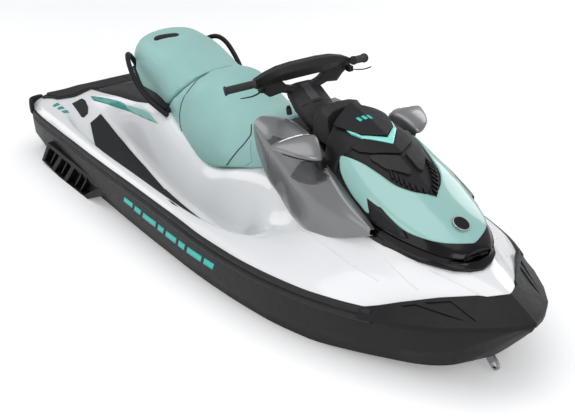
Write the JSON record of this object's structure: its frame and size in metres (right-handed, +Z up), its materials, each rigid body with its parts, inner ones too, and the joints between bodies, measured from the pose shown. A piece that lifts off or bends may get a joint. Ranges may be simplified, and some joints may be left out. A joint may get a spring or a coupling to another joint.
{
  "type": "personal watercraft",
  "caption": "Sit-astride jet-driven watercraft with raised rear seat, handlebar steering, opening front storage hood, mirrors, side sponsons, steering nozzle and reverse bucket.",
  "frame": {"origin": "on the waterline, at mid-length on the centreline", "axes": "+X to the bow, +Y to port, +Z up"},
  "size_m": [3.3711, 1.255, 1.1674],
  "materials": {
    "black_shell": "satin",
    "white_gelcoat": "gloss",
    "black_trim": "moulded satin",
    "grey_trim": "textured",
    "gloss_black": "gloss",
    "foam_mat": "textured foam",
    "mint_vinyl": "stitched vinyl",
    "mint_gloss": "gloss",
    "teal_gloss": "gloss",
    "metal_grey": "metallic",
    "soft_rubber": "ribbed",
    "bare_metal": "brushed",
    "cast_alloy": "cast",
    "engine_grey": "cast"
  },
  "bodies": {
    "craft": {"hull": "black_shell", "deck": "white_gelcoat", "rub_rail": "black_trim", "bow_bumper": "black_trim", "stern_bumpers": "black_trim", "footwell_mats": "foam_mat", "rear_platform": "grey_trim", "platform_mat": "foam_mat", "seat_riser": "black_trim", "seat_front": "mint_vinyl", "seat_rear": "mint_vinyl", "hood_rim": "gloss_black", "storage_bin": "grey_trim", "console": "black_trim", "gauge_pod": "black_trim", "side_fairings": "metal_grey", "grab_rails": "black_trim", "mirrors": "metal_grey", "sponsons": "black_trim", "engine": "engine_grey", "pump_housing": "cast_alloy", "intake_grate": "cast_alloy", "ride_plate": "black_trim", "bow_eye": "bare_metal", "stern_eye_port": "bare_metal", "stern_eye_starboard": "bare_metal", "tow_eye": "bare_metal", "socket_port": "black_trim", "socket_starboard": "black_trim"},
    "steering": {"handlebar": "black_trim", "steering_neck": "grey_trim", "steering_stem": "bare_metal", "grip_port": "soft_rubber", "grip_starboard": "soft_rubber", "brake_lever": "black_trim", "throttle_lever": "black_trim"},
    "hood": {"hood_shell": "mint_gloss", "hood_top": "black_trim", "hood_accent": "teal_gloss", "hood_grille": "black_trim"},
    "nozzle": {"jet_nozzle": "black_trim"},
    "bucket": {"reverse_bucket": "black_trim"},
    "impeller": {"impeller": "bare_metal", "drive_shaft": "bare_metal"}
  },
  "joints": [
    {"name": "steering_turn", "type": "hinge", "parent": "craft", "child": "steering", "pos_m": [0.32, 0, 0.69], "axis": [-0.5, 0, 0.866], "range_deg": [-25, 25]},
    {"name": "nozzle_yaw", "type": "hinge", "parent": "craft", "child": "nozzle", "pos_m": [-1.49008, 0, -0.078], "axis": [0, 0, 1], "range_deg": [-19, 19]},
    {"name": "bucket_swing", "type": "hinge", "parent": "craft", "child": "bucket", "pos_m": [-1.49008, 0, -0.078], "axis": [0, -1, 0], "range_deg": [0, 60]},
    {"name": "impeller_spin", "type": "hinge", "parent": "craft", "child": "impeller", "pos_m": [-1.23008, 0, -0.078], "axis": [1, 0, 0], "continuous": true},
    {"name": "hood_lift", "type": "hinge", "parent": "craft", "child": "hood", "pos_m": [1.32132, 0, 0.461], "axis": [0, 1, 0], "range_deg": [0, 50]}
  ],
  "couplings": [
    {"joint": "nozzle_yaw", "follows": "steering_turn", "ratio": -0.75}
  ]
}
